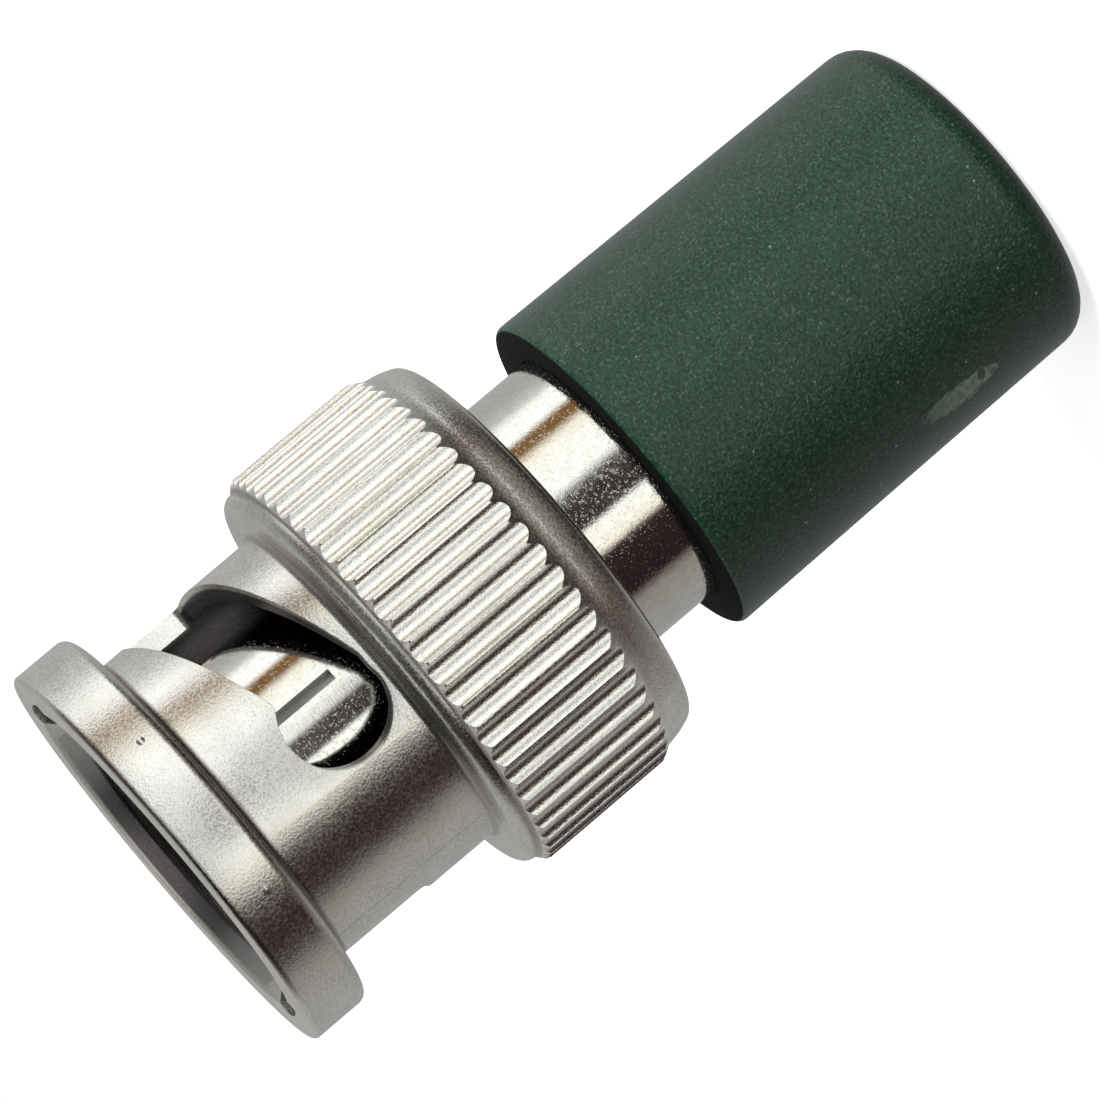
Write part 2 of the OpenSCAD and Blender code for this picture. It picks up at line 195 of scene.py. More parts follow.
# Degrees from the front (-Y) round towards +X, and the grey level or colour that stands there
FOOT_ROW = [
    (-180, 0.38), (-120, 0.34), (-80, 0.20), (-60, (0.055, 0.04, 0.036)), (-40, (0.04, 0.028, 0.026)),
    (0, (0.05, 0.04, 0.036)), (60, (0.03, 0.024, 0.022)), (84, (0.02, 0.016, 0.018)), (102, 0.10),
    (116, 0.28), (180, 0.40),
]
UNDER_ROW = [
    (-180, 0.40), (-120, 0.34), (-80, (0.19, 0.165, 0.155)), (-58, (0.10, 0.082, 0.075)),
    (-38, (0.18, 0.152, 0.138)), (-20, (0.21, 0.185, 0.16)), (0, (0.29, 0.265, 0.235)),
    (12, (0.38, 0.355, 0.32)), (30, (0.28, 0.26, 0.23)), (48, (0.31, 0.28, 0.24)),
    (62, (0.17, 0.15, 0.13)), (82, (0.06, 0.046, 0.044)), (100, 0.20), (120, 0.40), (180, 0.42),
]
LOW_ROW = [
    (-180, (0.42, 0.42, 0.42)), (-150, (0.40, 0.41, 0.42)), (-118, (0.42, 0.42, 0.41)),
    (-92, (0.38, 0.35, 0.33)), (-80, DARK), (-40, (0.045, 0.026, 0.028)), (-34, CREAM),
    (-17, WHITE), (44, WHITE), (56, CREAM), (64, WARM), (73, WARM), (79, BRIGHT), (88, BRIGHT),
    (95, WHITE), (106, (0.76, 0.77, 0.77)), (125, (0.56, 0.56, 0.56)), (155, (0.50, 0.51, 0.52)),
    (180, (0.44, 0.44, 0.45)),
]
HIGH_ROW = [
    (-180, 0.46), (-110, 0.44), (-84, 0.04), (-8, 0.045), (10, 0.14), (84, 0.18), (108, 0.42), (180, 0.46),
]
print("rows of", len(FOOT_ROW), len(UNDER_ROW), len(LOW_ROW), len(HIGH_ROW), "cards, from foot to top")

# %% [markdown]
# ## Hanging the cards
# The rows are blended by the height of the direction looked along. A small dark stand, with a
# narrow top on a wider base, is laid over them in front and a little below the horizon. The roof is
# plain. Rays from the camera see plain white instead. Everything else, metal included, sees the tent.

# %% The light tent
HALF = 0.5   # ramps hold values up to 1, so the tent's are halved there and doubled after
# Degrees of height over which one row gives way to the next
FOOT_TO_UNDER, UNDER_TO_LOW, LOW_TO_HIGH, HIGH_TO_ROOF = (-52, -38), (-28, -17), (2, 7), (66, 80)
STAND_DARK, ROOF = (0.022, 0.015, 0.015), (0.85 * HALF, 0.85 * HALF, 0.84 * HALF)

world = bpy.data.worlds.new("light_tent")
scene.world = world
world.use_nodes = True
world.node_tree.nodes.clear()
sky = Wire(world.node_tree)
east, north, up = sky.make("ShaderNodeTexCoord").split()
bearing = east.math("ARCTAN2", 0 - north) / math.tau * 360
height = up.math("ARCSINE") / math.tau * 360


def card_row(cards):
    """One row of the tent: a ramp round the horizon from grey levels or colours."""
    stops = []
    for degrees, card in cards:
        colour = card if isinstance(card, tuple) else (card, card, card)
        stops.append((degrees / 360 + 0.5, [level * HALF for level in colour]))
    return (bearing / 360 + 0.5).ramp(stops)


tent = height.step(*FOOT_TO_UNDER).mix(card_row(FOOT_ROW), card_row(UNDER_ROW))
tent = height.step(*UNDER_TO_LOW).mix(tent, card_row(LOW_ROW))
stand_top = bearing.step(12, 4) * height.step(-9.5, -8) * height.step(-3.5, -5.5)
stand_base = bearing.step(24, 12) * height.step(-16, -12.5) * height.step(-6.5, -8)
stand = bearing.step(-17, -12) * stand_top.math("MAXIMUM", stand_base)
tent = stand.mix(tent, STAND_DARK)
tent = height.step(*LOW_TO_HIGH).mix(tent, card_row(HIGH_ROW))
tent = height.step(*HIGH_TO_ROOF).mix(tent, ROOF)
lit = sky.make("ShaderNodeBackground", None, {"Color": tent, "Strength": 1 / HALF})
backdrop = sky.make("ShaderNodeBackground", None, {"Color": (1, 1, 1, 1), "Strength": 1.0})
seen = sky.make("ShaderNodeLightPath")
shown = sky.make("ShaderNodeMixShader", None, {0: seen, 1: lit, 2: backdrop})
sky.make("ShaderNodeOutputWorld", None, {"Surface": shown})
print("light tent with", len(world.node_tree.nodes), "nodes")

# %% [markdown]
# ## Floor
# The plug stands on its cap on a pale sweep of card. The floor is plain matt white that takes the
# plug's real shadow. A little of its own light carries it to clean white away from the plug. Only
# the camera sees it: other rays pass it by, so the metal shows the tent below the horizon too, as
# it would on a small stand in the middle of the tent. One soft lamp from the front right lights the
# matt surfaces, above all the cap.

# %% Floor and soft lamp
FLOOR_HALF_SIZE, FLOOR_WHITE, FLOOR_LIFT = 1.2, (0.86, 0.86, 0.85, 1), 0.72
KEY_AT, KEY_SIZE, KEY_WATTS = Vector((0.35, -0.40, 0.50)), 0.5, 4.8


def link_object(name, data):
    """A new object that holds this data, linked to the scene."""
    made = bpy.data.objects.new(name, data)
    scene.collection.objects.link(made)
    return made


sheet = bmesh.new()
bmesh.ops.create_grid(sheet, x_segments=8, y_segments=8, size=FLOOR_HALF_SIZE)
floor_mesh = bpy.data.meshes.new("floor")
sheet.to_mesh(floor_mesh)
sheet.free()
floor = link_object("floor", floor_mesh)
floor.visible_glossy = False
floor.visible_diffuse = False

floor_card = bpy.data.materials.new("floor_card")
floor_card.use_nodes = True
floor_card.node_tree.nodes.clear()
card = Wire(floor_card.node_tree)
matt = card.make("ShaderNodeBsdfDiffuse", None, {"Color": FLOOR_WHITE})
lift_strength = card.make("ShaderNodeLightPath") * FLOOR_LIFT
lift = card.make("ShaderNodeEmission", None, {"Color": (1, 1, 1, 1), "Strength": lift_strength})
both = card.make("ShaderNodeAddShader", None, {0: matt, 1: lift})
card.make("ShaderNodeOutputMaterial", None, {"Surface": both})
floor_mesh.materials.append(floor_card)


def soft_box(name, at, size, watts):
    """A square area lamp aimed at the middle of the plug, which shines on matt surfaces only."""
    lamp = bpy.data.lights.new(name, "AREA")
    lamp.shape, lamp.size, lamp.energy = "SQUARE", size, watts
    made = link_object(name, lamp)
    made.location = at
    plug_middle = Vector((0, 0, FRONT_Z / 2 * MM))
    made.rotation_euler = (plug_middle - made.location).to_track_quat("-Z", "Y").to_euler()
    made.visible_glossy = False


soft_box("key_box", KEY_AT, KEY_SIZE, KEY_WATTS)
print("floor and one soft box")

# %% [markdown]
# ## Starting a finish
# Every finish starts from the Principled shader and reads Object coordinates, so a pattern stays on
# its piece when the piece moves. Fine relief goes through a Bump node, which tilts the shading and
# leaves the mesh alone.

# %% Shader start
FINISH = {}


def new_finish(name, roughness, metallic=0.0, **sockets):
    """A material with its Principled shader set and its coordinates ready."""
    finish = bpy.data.materials.new(name)
    finish.use_nodes = True
    tree = finish.node_tree
    shader = tree.nodes["Principled BSDF"]
    shader.inputs["Roughness"].default_value = roughness
    shader.inputs["Metallic"].default_value = metallic
    for key, value in sockets.items():
        shader.inputs[key.replace("_", " ")].default_value = value
    place = Wire(tree).make("ShaderNodeTexCoord").out("Object")
    return finish, shader, place


def feed(wire, shader, socket):
    """Links a wire to one of a shader's sockets."""
    wire.tree.links.new(wire.socket, shader.inputs[socket])


def bump(height, distance_mm, strength=1.0, below=None):
    """A normal tilted by a height from 0 to 1, on top of another bump where one is given."""
    sockets = {"Height": height, "Distance": distance_mm * MM, "Strength": strength}
    if below:
        sockets["Normal"] = below
    return height.make("ShaderNodeBump", None, sockets)


print("helpers for finishes ready")

# %% [markdown]
# ## Satin nickel
# The sleeve is die-cast and plated satin nickel: a warm grey metal with a fine, even grain that
# breaks the edges of every reflection into speckle. It stays a plain metallic shader. Masks made
# from radius and height paint shade into its colour: painted shade on its inner walls, where little
# light reaches, and painted shade in its corners, with a dark line painted on the near side of the
# lip. Each mask fades in between the two millimetre values of its step. Two tiny moulding pips
# stand on the near side of the ring. Grain and pips are bumps, finer than anything worth modelling.

# %% Satin nickel
SATIN_DARK, SATIN_PALE = (0.60, 0.58, 0.54), (0.88, 0.862, 0.815)
KNURL_DARK, KNURL_PALE = (0.72, 0.70, 0.655), (0.94, 0.925, 0.88)
# Colours of painted shade: in the sleeve's corners, and on its inner walls
CORNER_SHADE, INNER_SHADE = (0.12, 0.095, 0.09), (0.13, 0.12, 0.12)
PIPS_X, PIPS_Z = (-2.51, 2.99), FRONT_Z - 1.2
PIP_FOOT_R, PIP_TOP_R, PIP_RELIEF_MM = 0.14, 0.03, 0.028
GRAIN_MM, GRAIN_RELIEF_MM, CLOUD_MM = 0.075, 0.0070, 1.6


def painted_inner_shade(aside, radius, height):
    """Painted shade: 1 on the sleeve's inner walls, less in the lead-in grooves and towards the mouth."""
    bore = radius.step(5.60, 5.50) * height.step(FRONT_Z - 0.75, FRONT_Z - 0.65)
    lead_in = aside.step(4.65, 4.8) * height.step(FRONT_Z - 5.2, FRONT_Z - 5.05)
    mouth = aside.step(0.5, 4.8) * height.step(FRONT_Z - 2.6, FRONT_Z - 1.0) * 0.75
    inside = radius.step(5.45, 5.35) * (1 - lead_in.math("MAXIMUM", mouth))
    return (inside + bore * 0.35).math("MINIMUM", 1.0)


def painted_corner_shade(y, radius, height, cloud):
    """Painted shade under the ring, at the neck and round the flutes' front ends, and a painted dark line
    on the near lip.
    """
    corner = height.step(RING_Z - 0.33, RING_Z - 0.2) * height.step(RING_Z + 0.12, RING_Z)
    corner = corner * radius.step(6.75, 6.6)
    neck = height.step(COLLAR_Z - 0.02, COLLAR_Z + 0.05) * height.step(COLLAR_Z + 0.24, COLLAR_Z + 0.12)
    ends = radius.step(7.08, 7.0) * height.step(KNURL_FRONT_Z - 0.3, KNURL_FRONT_Z - 0.1)
    ends = ends * height.step(KNURL_FRONT_Z + 0.2, KNURL_FRONT_Z + 0.05)
    lip = radius.step(6.6, 6.7) * height.step(FRONT_Z - 0.24, FRONT_Z - 0.14)
    lip = lip * height.step(FRONT_Z, FRONT_Z - 0.06) * (y / MM).step(-3.8, -5.0)
    painted_shade = (corner * 0.8 + neck * 0.55 + ends * 0.6 + lip * 0.75) * (cloud * 0.8 + 0.5)
    return painted_shade.math("MINIMUM", 1.0)


def pip_heights(x, y, height):
    """The two pips on the near side of the ring, each a small round hill."""
    pips = 0.0
    for across in PIPS_X:
        from_pip = ((x / MM - across) ** 2 + (height - PIPS_Z) ** 2) ** 0.5
        pips = from_pip.step(PIP_FOOT_R, PIP_TOP_R) * y.step(0.0, -MM) + pips
    return pips


def satin_nickel():
    finish, shader, place = new_finish("satin_nickel", 0.28, metallic=1.0)
    x, y, z = place.split()
    radius = (x * x + y * y) ** 0.5 / MM
    height = z / MM
    grain = place.noise(GRAIN_MM, 2.5)
    cloud = place.noise(CLOUD_MM, 3.0)
    knurl = radius.step(6.98, 7.05)
    speck = (cloud * 0.25 + grain * 0.75).step(0.36, 0.64)
    tone = speck.mix(SATIN_DARK, SATIN_PALE)
    tone = knurl.mix(tone, speck.mix(KNURL_DARK, KNURL_PALE))
    # Painted shade in the corners, and a painted dark line on the near side of the lip
    tone = painted_corner_shade(y, radius, height, cloud).mix(tone, CORNER_SHADE)
    # Painted shade on the inner walls, where little light reaches
    tone = painted_inner_shade((x / MM).math("ABSOLUTE"), radius, height).mix(tone, INNER_SHADE)
    feed(tone, shader, "Base Color")
    feed(grain.step(0.35, 0.75) * 0.14 + 0.22, shader, "Roughness")
    pips = bump(pip_heights(x, y, height), PIP_RELIEF_MM)
    feed(bump(grain * (knurl * 0.3 + 1.0), GRAIN_RELIEF_MM, below=pips), shader, "Normal")
    return finish


FINISH["satin_nickel"] = satin_nickel()
print("satin nickel with", len(FINISH["satin_nickel"].node_tree.nodes), "nodes")

# %% [markdown]
# ## Bright nickel
# The barrel, the contact and the flange are turned and plated bright, so they mirror the cards
# sharply. Noise drawn out across the axis gives the lathe's faint rings, even noise the pits, and
# the highest spots of a third noise are nicks. The relief is gentler inside the sleeve, where
# nothing rubs.

# %% Bright nickel
BRIGHT_DARK, BRIGHT_PALE = (0.63, 0.61, 0.565), (0.71, 0.69, 0.645)
RING_MM, PIT_MM, HAZE_MM, NICK_MM = 0.07, 0.07, 0.25, 0.085
TURNED_RELIEF_MM, NICK_RELIEF_MM = 0.0022, 0.0015


def bright_nickel():
    finish, shader, place = new_finish("bright_nickel", 0.09, metallic=1.0)
    x, y, z = place.split()
    drawn_out = z.make("ShaderNodeCombineXYZ", None, {"Z": z, "X": x * 0.2, "Y": y * 0.2})
    rings = drawn_out.noise(RING_MM, 3.0)
    pits = place.noise(PIT_MM, 1.0)
    haze = place.noise(HAZE_MM, 3.0)
    feed(haze.step(0.35, 0.75).mix(BRIGHT_DARK, BRIGHT_PALE), shader, "Base Color")
    feed(haze * 0.08 + 0.05, shader, "Roughness")
    shelter = 1 - (z / MM).step(REAR_Z, REAR_Z + 2) * 0.7
    nicks = bump(place.noise(NICK_MM, 1.0).step(0.62, 0.68), NICK_RELIEF_MM)
    feed(bump((rings * 0.9 + pits * 0.7) * shelter, TURNED_RELIEF_MM, below=nicks), shader, "Normal")
    return finish


FINISH["bright_nickel"] = bright_nickel()
print("bright nickel with", len(FINISH["bright_nickel"].node_tree.nodes), "nodes")

# %% [markdown]
# ## Moulded cap
# The cap is dark green plastic. Its mould was spark-eroded, which leaves a matt, pebbled skin with
# a few pale grains of filler in it. The skin's height is fine noise, the grains are the tips of a
# cell pattern, and a ragged patch on one side is scuffed paler by handling. Small pale specks are
# painted highlights, glints of the pebbled skin painted into the colour. The flat rim of the cap's
# mouth is painted dark: painted shade under the sleeve.

# %% Cap plastic
# The glint colour on the next line is a painted highlight
GREEN_DARK, GREEN_PALE, PAINTED_GLINT = (0.013, 0.041, 0.025), (0.032, 0.089, 0.055), (0.15, 0.22, 0.17)
# The last colour on the next line is painted shade, for the rim of the mouth
SCUFFED, FILLER, MOUTH_SHADE = (0.32, 0.44, 0.36), (0.42, 0.50, 0.45), (0.006, 0.009, 0.008)
SKIN_MM, SKIN_RELIEF_MM, GLINT_MM, CELL_MM = 0.11, 0.034, 0.085, 0.55
SCUFF_X, SCUFF_Z, SCUFF_HALF_W, SCUFF_HALF_L, SCUFF_LEAN = -4.60, 5.2, 0.27, 1.45, 0.03
NICK_X, NICK_Z = -4.55, 4.35


def scuff_mask(place, x, y, z):
    """A tall patch with a ragged rim and streaks, on the near side, with one nick left out."""
    wander = place.noise(0.7, 1.0) * 0.3 - 0.15
    across = (x - SCUFF_X - (z - SCUFF_Z) * SCUFF_LEAN + wander) / SCUFF_HALF_W
    along = (z - SCUFF_Z) / SCUFF_HALF_L
    ragged = across * across + along * along + (place.noise(0.22, 4.0) - 0.5) * 1.6
    streaks = place.noise(0.16, 3.0).step(0.35, 0.6) * z.step(7.0, 4.2)
    nick = ((x - NICK_X) ** 2 + (z - NICK_Z) ** 2 + place.noise(0.12, 1.0) * 0.02).step(0.045, 0.02)
    return ragged.step(1.1, 0.6) * y.step(0.0, -0.5) * (streaks * 0.65 + 0.35) * (1 - nick)


def cap_plastic():
    finish, shader, place = new_finish("cap_plastic", 0.34, Specular_IOR_Level=0.38)
    x, y, z = (part / MM for part in place.split())
    skin = place.noise(SKIN_MM, 3.0)
    face = z.step(CAP_Z - 0.05, CAP_Z - 0.01)
    cell_sockets = {"Vector": place, "Scale": 1 / (CELL_MM * MM)}
    cells = place.make("ShaderNodeTexVoronoi", {"feature": "F1"}, cell_sockets)
    grains = cells.step(0.10, 0.05) * place.noise(0.9, 1.0).step(0.56, 0.62)
    painted_glints = place.noise(GLINT_MM, 1.0).step(0.60, 0.70)
    tone = skin.step(0.3, 0.75).mix(GREEN_DARK, GREEN_PALE)
    # Painted highlights: pale glints painted into the colour
    tone = (painted_glints * 0.5).mix(tone, PAINTED_GLINT)
    tone = (scuff_mask(place, x, y, z) * 0.9).mix(tone, SCUFFED)
    # Painted shade: the flat rim of the mouth is painted dark
    tone = face.mix((grains * 0.8).mix(tone, FILLER), MOUTH_SHADE)
    feed(tone, shader, "Base Color")
    feed(skin * 0.16 + 0.24 + face * 0.6, shader, "Roughness")
    feed(bump(skin, SKIN_RELIEF_MM), shader, "Normal")
    return finish


FINISH["cap_plastic"] = cap_plastic()
print("cap plastic with", len(FINISH["cap_plastic"].node_tree.nodes), "nodes")

# %% [markdown]
# ## Inner finishes
# The insulators are PTFE, which is white and waxy, and the pin is gold plated. Solder is soft and
# cloudy, tinned wire a little smoother, the resistor has a blue lacquer, the disc is brass, the
# washers are grey spring steel and the seal is a dark rubber. None of them needs more than two
# tones that wander into each other, so one function makes them all.

# %% Finishes inside
WANDER, WANDER_ROUGH, WANDER_BUMP = (0.3, 0.7), 0.16, 0.8


def mottled(name, dark, light, roughness, metallic=0.0, lump_mm=0.3, relief_mm=0.004):
    """A finish that wanders between two colours, with relief and roughness from the same noise."""
    finish, shader, place = new_finish(name, roughness, metallic)
    cloud = place.noise(lump_mm, 4.0)
    feed(cloud.step(*WANDER).mix(dark, light), shader, "Base Color")
    feed(cloud * WANDER_ROUGH + (roughness - WANDER_ROUGH / 2), shader, "Roughness")
    feed(bump(cloud, relief_mm, WANDER_BUMP), shader, "Normal")
    return finish


# Name, dark and light colour, roughness, metallic, size of the noise and height of the relief in mm
for name, *look in (
    ("insulator", (0.78, 0.77, 0.72), (0.86, 0.85, 0.80), 0.42),
    ("gold_plate", (0.80, 0.56, 0.22), (0.88, 0.66, 0.30), 0.16, 1.0, 0.2, 0.002),
    ("solder", (0.62, 0.62, 0.63), (0.74, 0.74, 0.75), 0.34, 1.0, 0.25, 0.01),
    ("tinned_wire", (0.66, 0.66, 0.64), (0.76, 0.76, 0.74), 0.28, 1.0, 0.12, 0.003),
    ("resistor_coating", (0.10, 0.30, 0.45), (0.14, 0.38, 0.55), 0.30),
    ("brass_disc", (0.68, 0.50, 0.24), (0.76, 0.58, 0.30), 0.30, 1.0, 0.4, 0.003),
    ("seal_rubber", (0.025, 0.025, 0.027), (0.045, 0.045, 0.048), 0.62, 0.0, 0.15, 0.012),
    ("spring_steel", (0.46, 0.44, 0.42), (0.58, 0.57, 0.55), 0.28, 1.0, 0.5, 0.003),
):
    FINISH[name] = mottled(name, *look)
print("finishes", sorted(FINISH))

# %% [markdown]
# ## Turned pieces
# Most of the plug was made on a lathe, so it is modelled the same way: half the section is drawn
# as a few corners, the corners are rounded, and the outline is spun about the axis. The section is
# drawn in the plane of radius (Y) and height (Z), in millimetres, and scaled to metres at the end.

# %% Outline and spin
ROUND_SEGMENTS, ON_AXIS = 7, 1e-6


def outline(corners, x=0.0):
    """A bmesh holding one face from (radius, height, rounding) corners, its corners rounded."""
    bm = bmesh.new()
    spots = [bm.verts.new((x, radius, height)) for radius, height, _ in corners]
    bm.faces.new(spots)
    for rounding in sorted({c[2] for c in corners if c[2]}):
        chosen = [v for v, c in zip(spots, corners) if c[2] == rounding]
        bmesh.ops.bevel(
            bm, geom=chosen, offset=rounding, offset_type="OFFSET", segments=ROUND_SEGMENTS,
            profile=0.5, affect="VERTICES", material=-1, clamp_overlap=True,
        )
    return bm


def turn(corners, steps=192):
    """Spins an outline into a closed solid. Edges on the axis are dropped first."""
    bm = outline(corners)
    bmesh.ops.delete(bm, geom=bm.faces[:], context="FACES_ONLY")
    on_axis = [e for e in bm.edges if all(abs(v.co.y) < ON_AXIS for v in e.verts)]
    bmesh.ops.delete(bm, geom=on_axis, context="EDGES")
    bmesh.ops.spin(
        bm, geom=bm.verts[:] + bm.edges[:], cent=(0, 0, 0), axis=(0, 0, 1), dvec=(0, 0, 0),
        angle=math.tau, steps=steps, use_merge=True, use_normal_flip=False, use_duplicate=False,
    )
    bmesh.ops.remove_doubles(bm, verts=bm.verts[:], dist=1e-4)
    bmesh.ops.recalc_face_normals(bm, faces=bm.faces[:])
    return bm


print("lathe ready,", ROUND_SEGMENTS, "segments to a rounded corner")

# %% [markdown]
# ## From outline to piece
# Each finished mesh is scaled to metres, shaded smooth except across real edges, and given the
# finish of its material. Weighted normals keep the flat faces flat beside their roundings. Then
# the piece is parented to the body it rides on, and the solids it stands for are hidden.

# %% Finishing a piece
SHARP_DEG = 32


def open_edges(bm):
    """How many edges don't have exactly two faces. A closed solid has none."""
    return sum(len(e.link_faces) != 2 for e in bm.edges)


def finish_piece(name, bm, body, slot, stands_for):
    """Turns a bmesh in millimetres into a piece that rides on a body and replaces CAD nodes."""
    bmesh.ops.scale(bm, vec=(MM, MM, MM), verts=bm.verts[:])
    loose = open_edges(bm)
    mesh = bpy.data.meshes.new(name)
    bm.to_mesh(mesh)
    bm.free()
    mesh.shade_smooth()
    mesh.set_sharp_from_angle(angle=math.radians(SHARP_DEG))
    mesh.materials.append(FINISH[slot])
    piece = link_object(name, mesh)
    even = piece.modifiers.new("even_shading", "WEIGHTED_NORMAL")
    even.keep_sharp = True
    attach(piece, body)
    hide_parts(*stands_for)
    print(name, len(mesh.polygons), "faces,", loose, "open edges")


print("pieces take a sharp edge above", SHARP_DEG, "degrees")

# %% [markdown]
# ## Sleeve blank, unrolled
# The sleeve is a tube with a knurled grip, a front ring and two cam slots that wind round it.
# Cutting slots in a round mesh leaves ragged rims. It is easier to think of the sleeve as a strip
# that was slit along its length and laid out flat: X is distance round the grip, Y is radius and Z
# is height. On the flat strip every cut is a plain extrusion and every rim takes a clean bevel. At
# the end the strip is sliced into narrow staves and rolled up.

# %% Sleeve sizes and blank
GRIP_R, TUBE_FRONT_R, TUBE_REAR_R, RING_R, BORE_R = 7.25, 5.575, 5.60, 6.85, 4.92
WEB_BORE_R, RECESS_R, WEB_REAR_Z, WEB_FRONT_Z = 3.96, 4.46, REAR_Z + 0.95, REAR_Z + 1.55
REAR_RIM_R, SHOULDER_R, KNURL_REAR_R, COLLAR_R = 6.66, 6.90, 7.0, 6.95
SHOULDER_H, REAR_SLOPE, FRONT_SLOPE, MOUTH_CHAMFER = 0.55, 0.40, 0.25, 0.6
FLUTES, FLUTE_DEPTH, FLUTE_TURN = 57, 0.20, 93.5
PITCH = 360 / FLUTES
SEAM_PITCHES = 25   # how many flutes behind the one at FLUTE_TURN the seam lies, on a crest


def round_at(degrees):
    """Distance along the flat strip of an angle measured from -Y towards +X."""
    return GRIP_R * math.radians(degrees)


def verts_in(geom):
    """The vertices among the elements that an operator returns."""
    return [v for v in geom if isinstance(v, bmesh.types.BMVert)]


def push(bm, faces, vec):
    """Extrudes flat faces along a vector into a closed solid whose faces point outwards."""
    pushed = bmesh.ops.extrude_face_region(bm, geom=faces)["geom"]
    bmesh.ops.translate(bm, vec=vec, verts=verts_in(pushed))
    bmesh.ops.recalc_face_normals(bm, faces=bm.faces[:])


SEAM = FLUTE_TURN + PITCH * (0.5 - SEAM_PITCHES)
sleeve_corners = [
    (RECESS_R, REAR_Z, 0.05), (REAR_RIM_R, REAR_Z, 0.25), (SHOULDER_R, REAR_Z + SHOULDER_H, 0.3),
    (KNURL_REAR_R, KNURL_REAR_Z, 0), (GRIP_R, KNURL_REAR_Z + REAR_SLOPE, 0.05),
    (GRIP_R, KNURL_FRONT_Z - FRONT_SLOPE, 0.05), (COLLAR_R, KNURL_FRONT_Z, 0), (COLLAR_R, COLLAR_Z, 0.4),
    (TUBE_REAR_R, COLLAR_Z, 0.25), (TUBE_FRONT_R, RING_Z, 0.25), (RING_R, RING_Z, 0.35),
    (RING_R, FRONT_Z, 0.15), (BORE_R + MOUTH_CHAMFER, FRONT_Z, 0.08),
    (BORE_R, FRONT_Z - MOUTH_CHAMFER, 0.08), (BORE_R, WEB_FRONT_Z, 0.05),
    (WEB_BORE_R, WEB_FRONT_Z, 0.05), (WEB_BORE_R, WEB_REAR_Z, 0.05), (RECESS_R, WEB_REAR_Z, 0),
]
strip = outline(sleeve_corners, x=round_at(SEAM))
push(strip, strip.faces[:], (round_at(360), 0, 0))
print("strip", round(round_at(360), 2), "mm long,", len(strip.faces), "faces,",
      open_edges(strip), "open edges")

# %% [markdown]
# ## Cutters
# The knurl is a row of shallow round flutes that leave narrow crests, and it slopes down at both
# ends. Each cam slot starts at a round detent at the front and back of the plug and climbs a
# quarter turn to a lead-in groove, which runs on as a channel inside the ring to the mating face.
# Each cutter is one outline pushed through the strip.

# %% Cutting
def everything(bm):
    """All the elements of a bmesh, as its operators want them."""
    return bm.verts[:] + bm.edges[:] + bm.faces[:]


def copies(bm, count, step):
    """Repeats everything in a bmesh, count times in all, along a vector."""
    first = everything(bm)
    for i in range(1, count):
        made = bmesh.ops.duplicate(bm, geom=first)["geom"]
        bmesh.ops.translate(bm, vec=Vector(step) * i, verts=verts_in(made))
    return bm


def cut(bm, cutter):
    """Takes one bmesh away from another with a Boolean, and returns the result."""
    objects = []
    for part in (bm, cutter):
        mesh = bpy.data.meshes.new("cutting")
        part.to_mesh(mesh)
        part.free()
        objects.append(link_object("cutting", mesh))
    work, tool = objects
    boolean = work.modifiers.new("cut", "BOOLEAN")
    boolean.operation, boolean.solver, boolean.object = "DIFFERENCE", "EXACT", tool
    made = work.evaluated_get(bpy.context.evaluated_depsgraph_get()).to_mesh()
    result = bmesh.new()
    result.from_mesh(made)
    for done in objects:
        mesh = done.data
        bpy.data.objects.remove(done)
        bpy.data.meshes.remove(mesh)
    return result


print("cutting tools ready")

# %% [markdown]
# ## Flutes
# A flute's radius follows from its depth and from the width that the crests leave. A disc of that
# radius is trimmed just above the grip, pushed along the knurl and copied once for every flute.

# %% Flutes
CREST_W, PAST_ENDS, ABOVE_GRIP = 0.06, 0.02, 0.015
half_w = (math.tau * GRIP_R / FLUTES - CREST_W) / 2
flute_r = (half_w ** 2 + FLUTE_DEPTH ** 2) / (2 * FLUTE_DEPTH)
centre = (round_at(SEAM + PITCH / 2), GRIP_R - FLUTE_DEPTH + flute_r, KNURL_REAR_Z - PAST_ENDS)
flute = bmesh.new()
bmesh.ops.create_circle(flute, cap_ends=True, radius=flute_r, segments=40)
bmesh.ops.translate(flute, vec=centre, verts=flute.verts[:])
bmesh.ops.bisect_plane(
    flute, geom=everything(flute), dist=1e-5,
    plane_co=(0, GRIP_R + ABOVE_GRIP, 0), plane_no=(0, 1, 0), clear_outer=True,
)
push(flute, flute.faces[:], (0, 0, KNURL_FRONT_Z - KNURL_REAR_Z + 2 * PAST_ENDS))
strip = cut(strip, copies(flute, FLUTES, (round_at(PITCH), 0, 0)))
print("fluted strip", len(strip.faces), "faces,", open_edges(strip), "open edges")

# %% [markdown]
# ## Cam slots and lead-ins
# One outline makes a slot: the round detent at the low end, the slanted cam and the straight
# groove that leads in from the mating face. On the real casting the detent and the cam meet in a
# soft hump, so the slot's front edge is a smooth maximum of the two. The outline is drawn in
# millimetres round the tube and stretched onto the strip, and its rims are rounded afterwards.

# %% Slots
SLOT_TURN, SLOT_FLOOR_Z = 0.9, FRONT_Z - 7.62
CAM_START, CAM_WIDTH, CAM_RISE = 2.6, 2.68, 2.61
DETENT_Z, DETENT_R, LEAD_HALF = FRONT_Z - 6.02, 1.65, 12.6
HUMP_SOFTNESS, CORNER_R, IN_Y, OUT_Y = 0.22, 0.3, 4.2, 5.92
tube_r = (TUBE_FRONT_R + TUBE_REAR_R) / 2
cam_front = FRONT_Z - CAM_START
cam_rear = cam_front - CAM_WIDTH


